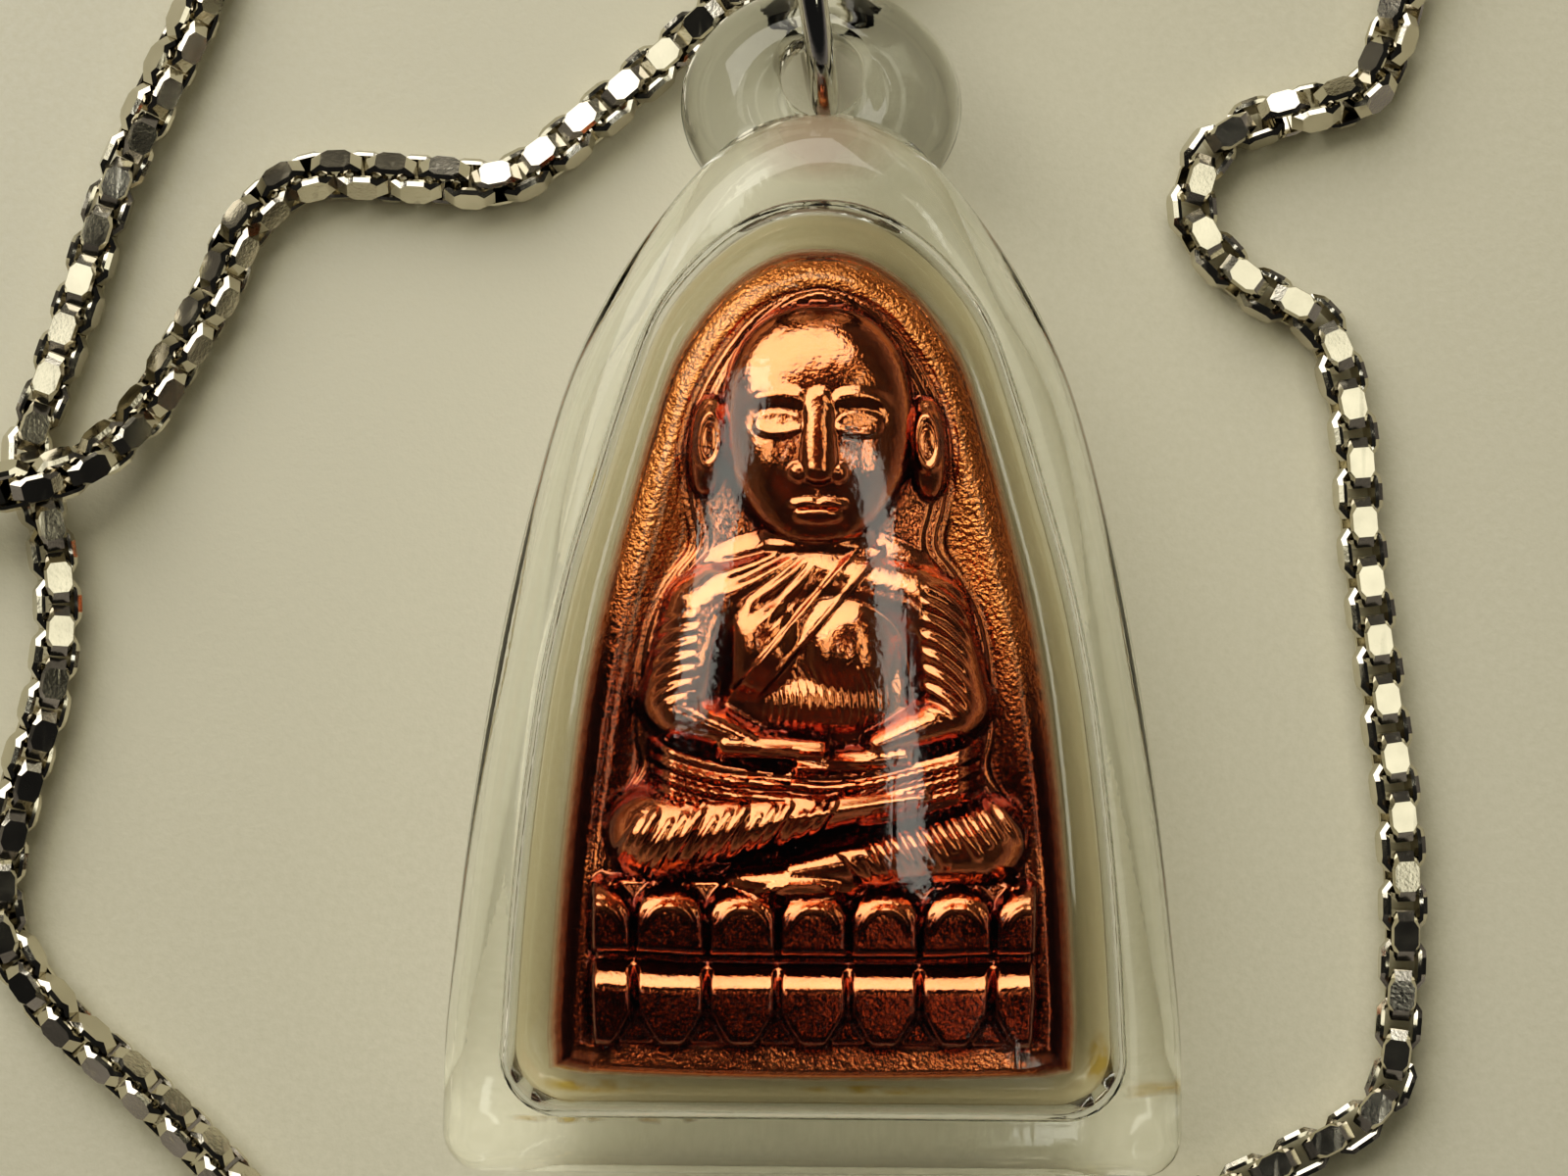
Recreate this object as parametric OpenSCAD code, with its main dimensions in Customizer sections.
/* [Case] */
// Width of the clear case at its foot
case_w = 33.2; // [28:0.1:40]
// Height of the clear case from foot to point
case_h = 47.6; // [42:0.1:58]
// Thickness of the clear case
case_t = 12; // [9:0.1:15]
// Thickness of the back half, up to the seam
back_t = 5.6; // [4.5:0.1:7]
// Rounding of the front edge
front_round = 3; // [1.5:0.1:4]
// Rounding of the back edge
back_round = 2; // [1:0.1:3]
// Rise of the front face from its rounded edge to the middle
front_dome = 0.7; // [0.2:0.1:1.5]
// Rounding of the two foot corners, seen from the front
corner_r = 1.9; // [1:0.1:3.5]
// Hairline at the glued joints of the clear pieces
glue_gap = 0.06; // [0.03:0.01:0.2]

/* [Hollow] */
// Wall behind the hollow
back_wall = 2.4; // [1.5:0.1:3]
// Wall over the hollow
front_wall = 2.4; // [1.5:0.1:3.5]
// Room between the plaque and the hollow at each side
side_room = 1.8; // [0.5:0.1:2.5]
// Room below the plaque
foot_room = 1.3; // [0.3:0.1:2]
// Rounding of the hollow's inner edges
hollow_round = 0.9; // [0.5:0.1:1.2]

/* [Plaque] */
// Width of the copper plaque at its foot
plaque_w = 24.2; // [20:0.1:26]
// Height of the copper plaque
plaque_h = 37.8; // [32:0.1:39]
// Thickness of the plaque at its flat field
plaque_t = 2.2; // [1.4:0.1:2.6]
// Height of the figure's highest point above the field
relief_h = 3.1; // [1.5:0.1:3.4]
// Slope of the plaque's sides, as an inset of its front
draft = 0.55; // [0.1:0.05:1]
// Bow of the plaque's foot edge
foot_bow = 0.35; // [0:0.05:0.8]
// Room under the plaque where it lies in the hollow
seat_gap = 0.06; // [0.03:0.01:0.2]

/* [Eyelet] */
// Width of the clear eyelet
eyelet_w = 12.8; // [9:0.1:16]
// Height of the clear eyelet
eyelet_h = 11; // [8:0.1:14]
// Thickness of the clear eyelet
eyelet_t = 7; // [5:0.1:8]
// Distance of the eyelet's hole above the point of the case
hole_up = 1.8; // [1.5:0.1:3]
// Diameter of the eyelet's hole
hole_d = 3.7; // [2.5:0.1:4.5]
// Distance of the eyelet's middle above the point of the case
eyelet_up = 0.7; // [0:0.1:2]

/* [Ring] */
// Outer diameter of the steel ring
ring_d = 11.9; // [10:0.1:15]
// Wire diameter of the steel ring
ring_wire = 1.3; // [0.8:0.1:1.6]
// Turn of the ring seen from the front
ring_turn = 9; // [-15:1:15]
// Room between the ring and the edge of the hole
ring_room = 0.15; // [0.05:0.05:0.4]

/* [Chain] */
// Width of the chain
chain_w = 2.1; // [1.5:0.1:2.2]
// Length of the clasp between the chain's ends
clasp_l = 11; // [8:0.1:16]
// Width of the clasp
clasp_w = 4.6; // [3:0.1:6]
// Thickness of the clasp
clasp_t = 2.4; // [1.8:0.1:3]
// Gap between each chain end and the clasp
clasp_gap = 0.12; // [0.05:0.01:0.3]

/* [Hidden] */

seam_z = back_t;
half_h = case_h / 2;
hollow_w = plaque_w + 2 * side_room;
hollow_h = plaque_h + side_room + foot_room;
plaque_y = -half_h + (case_h - plaque_h) * 0.41;
hollow_y = plaque_y - foot_room;
hollow_top = case_t - front_wall;
plaque_z = back_wall + seat_gap;
point_y = half_h;
hole_y = point_y + hole_up;
eyelet_y = point_y + eyelet_up;
eyelet_z = case_t / 2;
ring_r = (ring_d - ring_wire) / 2;
ring_low = hole_y - hole_d / 2 + ring_room + ring_wire / 2;
ring_y = ring_low + ring_r;
bore_fn = 48;
arc_steps = 4;
flank_steps = 17;

// Side of the case from foot corner to point: share of half width, share of height
case_side_shares = [[1, 0], [0.995, 0.09], [0.972, 0.18], [0.938, 0.29], [0.89, 0.41], [0.835, 0.52],
    [0.765, 0.63], [0.68, 0.735], [0.575, 0.82], [0.45, 0.89], [0.3, 0.955], [0.14, 0.99], [0, 1]];
// Side of the plaque from foot corner to point, in the same way
plaque_side_shares = [[1, 0], [0.98, 0.12], [0.955, 0.23], [0.92, 0.34], [0.875, 0.45], [0.81, 0.56],
    [0.73, 0.66], [0.645, 0.76], [0.55, 0.855], [0.44, 0.915], [0.3, 0.963], [0.15, 0.992], [0, 1]];

// Smooth curve through a list of points, mirrored at its last one
function hermite(a, b, c, d, u) = let (m0 = (c - a) / 2, m1 = (d - b) / 2)
    b * (2 * pow(u, 3) - 3 * u * u + 1) + m0 * (pow(u, 3) - 2 * u * u + u)
    + c * (3 * u * u - 2 * pow(u, 3)) + m1 * (pow(u, 3) - u * u);
function side_at(t, s) = let (n = len(t) - 1, i = min(floor(s * n), n - 1), u = s * n - i,
    a = i == 0 ? 2 * t[0] - t[1] : t[i - 1],
    d = i == n - 1 ? [-t[n - 1][0], t[n - 1][1]] : t[i + 2]) hermite(a, t[i], t[i + 1], d, u);

// Closed outline standing on its foot: foot edge, corner arc, flank, point and the mirrored half
function half_outline(w, h, r, t) = concat(
    [for (i = [1 : 2]) [(w / 2 - r) * i / 3, 0]],
    [for (i = [0 : arc_steps - 1]) let (a = 90 * i / arc_steps)
        [w / 2 - r + r * sin(a), r - r * cos(a)]],
    [for (i = [0 : flank_steps - 1]) let (p = side_at(t, i / flank_steps))
        [w / 2 * p[0], r + (h - r) * p[1]]]);
function outline(w, h, r, t) = let (q = half_outline(w, h, r, t), n = len(q))
    concat([[0, 0]], q, [[0, h]], [for (i = [n - 1 : -1 : 0]) [-q[i][0], q[i][1]]]);
function inset(o, w, h, d) = [for (p = o)
    [p[0] * (1 - 2 * d / w), h / 2 + (p[1] - h / 2) * (1 - 2 * d / h)]];
function level(o, y, z) = [for (p = o) [p[0], p[1] + y, z]];

// Solid through a stack of rings with the same number of points, closed by a point at each end
module loft(rings, first, last) {
    n = len(rings[0]);
    m = len(rings);
    pts = concat([first, last], [for (r = rings) for (p = r) p]);
    polyhedron(pts, concat(
        [for (i = [0 : n - 1]) [0, 2 + i, 2 + (i + 1) % n]],
        [for (k = [0 : m - 2]) for (i = [0 : n - 1]) let (j = (i + 1) % n, a = 2 + k * n)
            each [[a + i, a + n + i, a + n + j], [a + i, a + n + j, a + j]]],
        [for (i = [0 : n - 1]) [1, 2 + (m - 1) * n + (i + 1) % n, 2 + (m - 1) * n + i]]));
}

case_line = outline(case_w, case_h, corner_r, case_side_shares);
hollow_r = corner_r + hollow_round * 0.8;
hollow_line = outline(hollow_w, hollow_h, hollow_r, plaque_side_shares);
function case_ring(d, z) = level(inset(case_line, case_w, case_h, d), -half_h, z);
function hollow_ring(d, z) = level(inset(hollow_line, hollow_w, hollow_h, d), hollow_y, z);
hollow_mid = hollow_y + hollow_h / 2;

round_steps = [0, 25, 50, 70, 84];
front_edge_z = case_t - front_dome - front_round;
front_rings = concat(
    [for (a = round_steps) case_ring(front_round * (1 - cos(a)), front_edge_z + front_round * sin(a))],
    [for (u = [0.3, 0.65]) let (d = front_round + u * (case_w / 2 - front_round))
        case_ring(d, case_t - front_dome * pow(1 - u, 2))]);
back_rings = [for (a = round_steps) case_ring(back_round * (1 - cos(a)), back_round * (1 - sin(a)))];
function hollow_rings(z0, z1) = concat(
    [for (a = [84, 50, 0]) hollow_ring(hollow_round * (1 - cos(a)),
        z0 + (z1 > z0 ? 1 : -1) * hollow_round * (1 - sin(a)))],
    [hollow_ring(0, z1)]);
// The case's last ring at the back lies flat
back_flat = case_ring(back_round, 0);

module case_front() {
    z = seam_z + glue_gap / 2;
    color("aliceblue")
        loft(concat(hollow_rings(hollow_top, z), [case_ring(0, z)], front_rings),
            [0, hollow_mid, hollow_top], [0, 0, case_t]);
}

module case_back() {
    z = seam_z - glue_gap / 2;
    color("lightcyan") mirror([0, 0, 1])
        loft([for (r = concat(hollow_rings(back_wall, z), [case_ring(0, z)], back_rings, [back_flat]))
            [for (p = r) [p[0], p[1], -p[2]]]],
            [0, hollow_mid, -back_wall], [0, 0, 0]);
}

// Profile of the eyelet from its middle to its rim: share of half width, share of half thickness
eyelet_shares = [[0, 0.8], [0.3, 0.84], [0.46, 0.98], [0.62, 0.95], [0.78, 0.77], [0.9, 0.52], [0.97, 0.26]];
eyelet_sides = 26;
function eyelet_ring(p, up) = [for (i = [0 : eyelet_sides - 1]) let (a = 360 * i / eyelet_sides)
    [p[0] * eyelet_w / 2 * cos(a), eyelet_y + p[0] * eyelet_h / 2 * sin(a),
        eyelet_z + up * p[1] * eyelet_t / 2]];
module eyelet_ball() {
    n = len(eyelet_shares);
    loft(concat([for (i = [1 : n - 1]) eyelet_ring(eyelet_shares[i], -1)], [eyelet_ring([1, 0], 1)],
        [for (i = [n - 1 : -1 : 1]) eyelet_ring(eyelet_shares[i], 1)]),
        [0, eyelet_y, eyelet_z - eyelet_shares[0][1] * eyelet_t / 2],
        [0, eyelet_y, eyelet_z + eyelet_shares[0][1] * eyelet_t / 2]);
}
// Upright wall of the case, which the eyelet is glued round
module case_wall() {
    translate([0, -half_h, -case_t]) linear_extrude(3 * case_t)
        polygon([for (p = case_line) [p[0] * (1 + 2 * glue_gap / case_w),
            half_h + (p[1] - half_h) * (1 + 2 * glue_gap / case_h)]]);
}
module eyelet() {
    color("azure") difference() {
        eyelet_ball();
        case_wall();
        translate([0, hole_y, eyelet_z - eyelet_t])
            cylinder(h = 2 * eyelet_t, d = hole_d, $fn = bore_fn);
    }
}

// The relief is drawn on a field 200 wide and 312 high and scaled to the plaque
unit_x = plaque_w / 200;
unit_y = plaque_h / 312;
// Half width of the raised outline round the figure at each height
figure_side = [[0, 90], [70, 90], [80, 89], [90, 86], [99, 80], [107, 73], [113, 68], [119, 67],
    [128, 69], [150, 70], [176, 70], [188, 67], [198, 61], [206, 54], [213, 51], [224, 52],
    [238, 53], [250, 50], [260, 44], [271, 39], [281, 32], [290, 21], [295, 11], [298, 0]];
petal_gap = 27.8;
base_half = 86;
outline_step = 0.13;
function fade(e, w) = let (t = max(0, min(1, e / w))) t * t * (3 - 2 * t);
function dome(x, y, cx, cy, rx, ry, h, n = 2) =
    h * sqrt(max(0, 1 - pow(abs(x - cx) / rx, n) - pow(abs(y - cy) / ry, n)));
function limb(x, y, a, b, ra, rb, ha, hb) = let (v = b - a, q = [x, y] - a,
    t = max(0, min(1, q * v / (v * v))), r = ra + (rb - ra) * t, d = norm(q - v * t) / r)
    d >= 1 ? 0 : (ha + (hb - ha) * t) * sqrt(1 - d * d);
// Row of petals between two heights: pointed below when tip is 1, round above when it is 0
function petals(x, y, lo, hi, h, tip) = let (c = round(x / petal_gap) * petal_gap,
    dx = abs(x - c) / (petal_gap / 2), v = (y - lo) / (hi - lo))
    v < 0 || v > 1 || abs(x) > base_half ? 0 : let (
    edge = tip > 0 ? (v > 0.4 ? 1 : pow(v / 0.4, 0.65)) : v < 0.5 ? 1 : sqrt(max(0, 1 - pow(2 * v - 1, 2))),
    rise = tip > 0 ? sin(90 * min(1, (1 - v) / 0.4)) * (0.75 + 0.25 * v) : 0.8 + 0.2 * sin(180 * v))
    h * rise * sqrt(max(0, 1 - pow(dx / max(0.05, edge), 3)));
function face(x, y) = let (a = abs(x))
    limb(x, y, [0, 255], [0, 231], 4, 7, 0.05, 0.16)
    + 0.05 * fade(5 - abs(y - 258 + a * a / 80), 4) * fade(25 - a, 6)
    + dome(a, y, 12.5, 247, 8, 4.5, 0.07) - dome(a, y, 12.5, 248, 11, 8, 0.07)
    + dome(x, y, 0, 220, 10, 3.5, 0.07) + dome(x, y, 0, 210, 10, 6, 0.05);
function relief(x, y) = let (a = abs(x),
    step = outline_step * fade(lookup(y, figure_side) - a, 3),
    head = let (d = dome(x, y, 0, 249, 32, 43, 0.88, 2.5)) d > 0 ? d + face(x, y) * fade(d, 0.5) : 0,
    ears = dome(a, y, 40, 232, 9, 23, 0.52),
    neck = dome(x, y, 0, 204, 24, 20, 0.55, 2.5),
    trunk = max(dome(x, y, 0, 150, 66, 62, 0.6, 3), dome(x, y, 0, 168, 44, 38, 0.74, 2.4)),
    arm = max(limb(a, y, [47, 184], [54, 140], 18, 16, 0.74, 0.74),
        limb(a, y, [52, 137], [22, 124], 14, 9, 0.78, 0.86)),
    band = arm > 0.7 ? 0 : 0.09 * fade(6 - abs((x - 24) * 0.77 - (y - 205) * 0.64), 3)
        * fade(y - 138, 8) * fade(209 - y, 8) * fade(40 - a, 8),
    hands = max(limb(x, y, [-34, 124], [4, 123], 8, 7, 0.86, 0.94),
        limb(x, y, [34, 121], [-8, 116], 8, 6, 0.8, 0.86)),
    lap = 0.72 * fade(17 - abs(y - 103 - a * a / 300), 10) * fade(66 - a, 12),
    leg_l = limb(x, y, [-64, 89], [40, 105], 20, 8, 0.9, 0.84),
    leg_r = limb(x, y, [66, 87], [-6, 76], 20, 9, 0.8, 0.7),
    hem = max(dome(x, y, 18, 82, 16, 9, 0.84), dome(x, y, -10, 74, 24, 8, 0.8)),
    base = 0.3 * fade(base_half + 2 - a, 3) * fade(y - 8, 4) * fade(74 - y, 4))
    max(step, head, ears, neck, max(trunk, arm) + band, hands, lap, leg_l, leg_r, hem, base,
        petals(x, y, 44, 71, 0.66, 0), petals(x, y, 8, 41, 0.66, 1));

// Rows of the plaque's front, closer together towards the point
row_count = 84;
col_count = 54;
side_steps = 80;
plaque_widths = [for (i = [0 : side_steps])
    let (p = side_at(plaque_side_shares, i / side_steps)) [p[1], p[0]]];
function row_share(k) = let (t = k / row_count)
    t < 0.9 ? t * 1.06 : 0.954 + 0.0455 * (1 - pow(10 * (1 - t), 2));
front_scale = [1 - 2 * draft / plaque_w, 1 - 2 * draft / plaque_h];
function plaque_point(k, j) = let (s = row_share(k), u = 2 * j / col_count - 1,
    w = lookup(s, plaque_widths), x = u * w * plaque_w / 2,
    bow = foot_bow * (1 - u * u) * max(0, 1 - s * 6)) [x, s * plaque_h - bow];
function rim(x, s) = let (e = min(lookup(s, plaque_widths) * 100 - abs(x), s * 312, (1 - s) * 160))
    0.1 * fade(e, 2.5) * fade(9 - e, 4);
function top_point(k, j) = let (p = plaque_point(k, j), s = row_share(k), x = p[0] / unit_x)
    [p[0] * front_scale[0], plaque_h / 2 + (p[1] - plaque_h / 2) * front_scale[1],
        plaque_t + relief_h * (relief(x, p[1] / unit_y) + rim(x, s))];

module amulet() {
    nc = col_count + 1;
    m = (row_count + 1) * nc;
    top = [for (k = [0 : row_count]) for (j = [0 : col_count]) top_point(k, j)];
    edge = concat([for (j = [0 : col_count]) j], [for (k = [1 : row_count]) k * nc + col_count],
        [for (j = [col_count - 1 : -1 : 0]) row_count * nc + j], [for (k = [row_count - 1 : -1 : 1]) k * nc]);
    low = [for (i = edge) let (k = floor(i / nc), p = plaque_point(k, i % nc)) [p[0], p[1], 0]];
    ne = len(edge);
    color("peru") translate([0, plaque_y, plaque_z])
        polyhedron(concat(top, low, [[0, plaque_h / 2, 0]]), concat(
            [for (k = [0 : row_count - 1]) for (j = [0 : col_count - 1]) let (a = k * nc + j)
                each [[a, a + nc + 1, a + 1], [a, a + nc, a + nc + 1]]],
            [for (i = [0 : ne - 1]) let (b = (i + 1) % ne)
                each [[edge[i], edge[b], m + b], [edge[i], m + b, m + i]]],
            [for (i = [0 : ne - 1]) [m + ne, m + i, m + (i + 1) % ne]]));
}

module ring() {
    color("silver") translate([0, hole_y, eyelet_z]) rotate([0, 0, ring_turn])
        translate([0, ring_y - hole_y, 0]) rotate([0, 90, 0])
            rotate_extrude($fn = bore_fn) translate([ring_r, 0]) circle(d = ring_wire, $fn = 24);
}

// Middle of the clasp as it lies
clasp_at = [-3, -87];
chain_r = chain_w / 2;
chain_end = clasp_l / 2 + clasp_gap;
// Heights of the ring's middle and the case's foot that the route is drawn round
route_ring_y = 29.85;
route_foot_y = -23.8;
// Room between the case's foot side of the ring and the chain over it, and between crossing strands
over_ring = 1.15;
over_strand = 0.2;
ring_hump = eyelet_z - ring_r + ring_wire / 2 + over_ring;
strand_hump = chain_w + over_strand;
// Middle line of the chain from the clasp round to the clasp again: across, up, lift above lying flat
chain_route = [
    [-15, -85.5, 0], [-21.5, -80.5, 0], [-25.5, -73, 0], [-27, -64.5, 0], [-26.5, -56, 0],
    [-24.5, -48, 0], [-23, -40.5, 0], [-22.5, -34.5, 0], [-24, -29.5, 0],
    [-27, -25.5, 0], [-31.5, -21, 0], [-35, -18, 0], [-37.5, -14.5, 0], [-38, -11, 0],
    [-37, -6.5, 0], [-36, -3, 0], [-35.5, 1, 0], [-36, 5, 0], [-37, 8.5, 0], [-36, 11.5, 0],
    [-34.5, 16, 0], [-33, 21, 0], [-31, 25.5, 0], [-29, 30, 0], [-27.5, 37, 0], [-30, 44.5, 0],
    [-36, 50, 0], [-44, 51.5, 0], [-51.5, 48.5, 0], [-56.5, 42, 0],
    [-58.5, 34.5, 0], [-58.5, 26.5, 0], [-55.5, 18.5, 0], [-50.5, 12, 0], [-44.5, 7.5, 0.1],
    [-40.5, 6.5, 0.65 * strand_hump], [-37, 7, strand_hump], [-34, 8, 0.65 * strand_hump],
    [-31.5, 10.5, 0.2], [-30, 13, 0], [-28, 16.5, 0],
    [-27, 19, 0], [-24, 21.5, 0], [-18.5, 21.5, 0], [-14.5, 21.5, 0], [-10.5, 24.5, 0],
    [-7, 27.5, 0.1], [-4, 30, 0.6 * ring_hump], [-1, 32, ring_hump], [3.5, 34.5, 0.48 * ring_hump],
    [7.5, 39, 0],
    [9.5, 46.5, 0], [12.5, 54.5, 0], [19.5, 59.5, 0], [27.5, 58.5, 0], [33, 52.5, 0],
    [33.5, 45, 0], [30.5, 38, 0], [28, 33.5, 0], [27, 29.5, 0], [25.5, 26, 0], [22, 25, 0],
    [18.5, 23.5, 0], [17.5, 20, 0], [20, 17, 0], [23.5, 15, 0], [25, 10.5, 0], [25.5, 5, 0],
    [26.5, -2, 0], [27.5, -9.5, 0], [27.5, -17, 0], [26.5, -21.5, 0], [21.5, -24.5, 0],
    [15, -28, 0], [12.5, -35, 0], [14.5, -43, 0], [17.5, -51, 0], [19.5, -59.5, 0],
    [19.5, -68.5, 0], [17, -77, 0], [10.5, -84.5, 0]];
// Points level with the ring move with it, and points below the case with its foot
function route_y(y) = let (u = max(0, min(1, (y - route_foot_y) / (route_ring_y - route_foot_y))))
    y + (1 - u) * (-half_h - route_foot_y) + u * (ring_y - route_ring_y);
clasp_y = route_y(clasp_at[1]);
chain_line = concat([[clasp_at[0] - chain_end, clasp_y, chain_r]],
    [for (p = chain_route) [p[0], route_y(p[1]), p[2] + chain_r]],
    [[clasp_at[0] + chain_end, clasp_y, chain_r]]);
chain_sides = 8;
function unit(v) = v / norm(v);
function heading(l, i) = i == 0 ? [-1, 0, 0] : i == len(l) - 1 ? [-1, 0, 0] :
    unit(unit(l[i + 1] - l[i]) + unit(l[i] - l[i - 1]));
function tube_ring(l, i) = let (t = heading(l, i), s = unit([-t[1], t[0], 0]), n = cross(t, s),
    r = chain_r / cos(180 / chain_sides))
    [for (k = [0 : chain_sides - 1]) let (a = 360 * (k + 0.5) / chain_sides)
        l[i] + r * (cos(a) * s + sin(a) * n)];
module chain() {
    n = len(chain_line);
    color("gainsboro") loft([for (i = [0 : n - 1]) tube_ring(chain_line, i)],
        chain_line[0], chain_line[n - 1]);
}

// Plain hook clasp lying flat: a pear-shaped eye with a round barrel at each end
barrel_l = clasp_l * 0.14;
clasp_big = clasp_w / 2;
clasp_small = clasp_w * 0.32;
clasp_wall = clasp_w * 0.2;
module pear(less) {
    e = clasp_l / 2 - barrel_l;
    big = clasp_big - less;
    small = clasp_small - less;
    translate([-e + clasp_big, 0]) circle(r = big, $fn = bore_fn);
    translate([e - clasp_small, 0]) circle(r = small, $fn = bore_fn);
    polygon([[-e + clasp_big, -big], [e - clasp_small, -small], [e - clasp_small, small],
        [-e + clasp_big, big]]);
}
module clasp() {
    color("lightgray") translate([clasp_at[0], clasp_y, 0]) {
        linear_extrude(clasp_t) difference() {
            pear(0);
            pear(clasp_wall);
        }
        for (side = [-1, 1]) translate([side * (clasp_l - barrel_l * 1.5) / 2, 0, clasp_t / 2])
            rotate([0, 90, 0]) cylinder(h = barrel_l * 1.5, d = clasp_t * 0.8, center = true, $fn = bore_fn);
    }
}

case_front();
case_back();
eyelet();
amulet();
ring();
chain();
clasp();
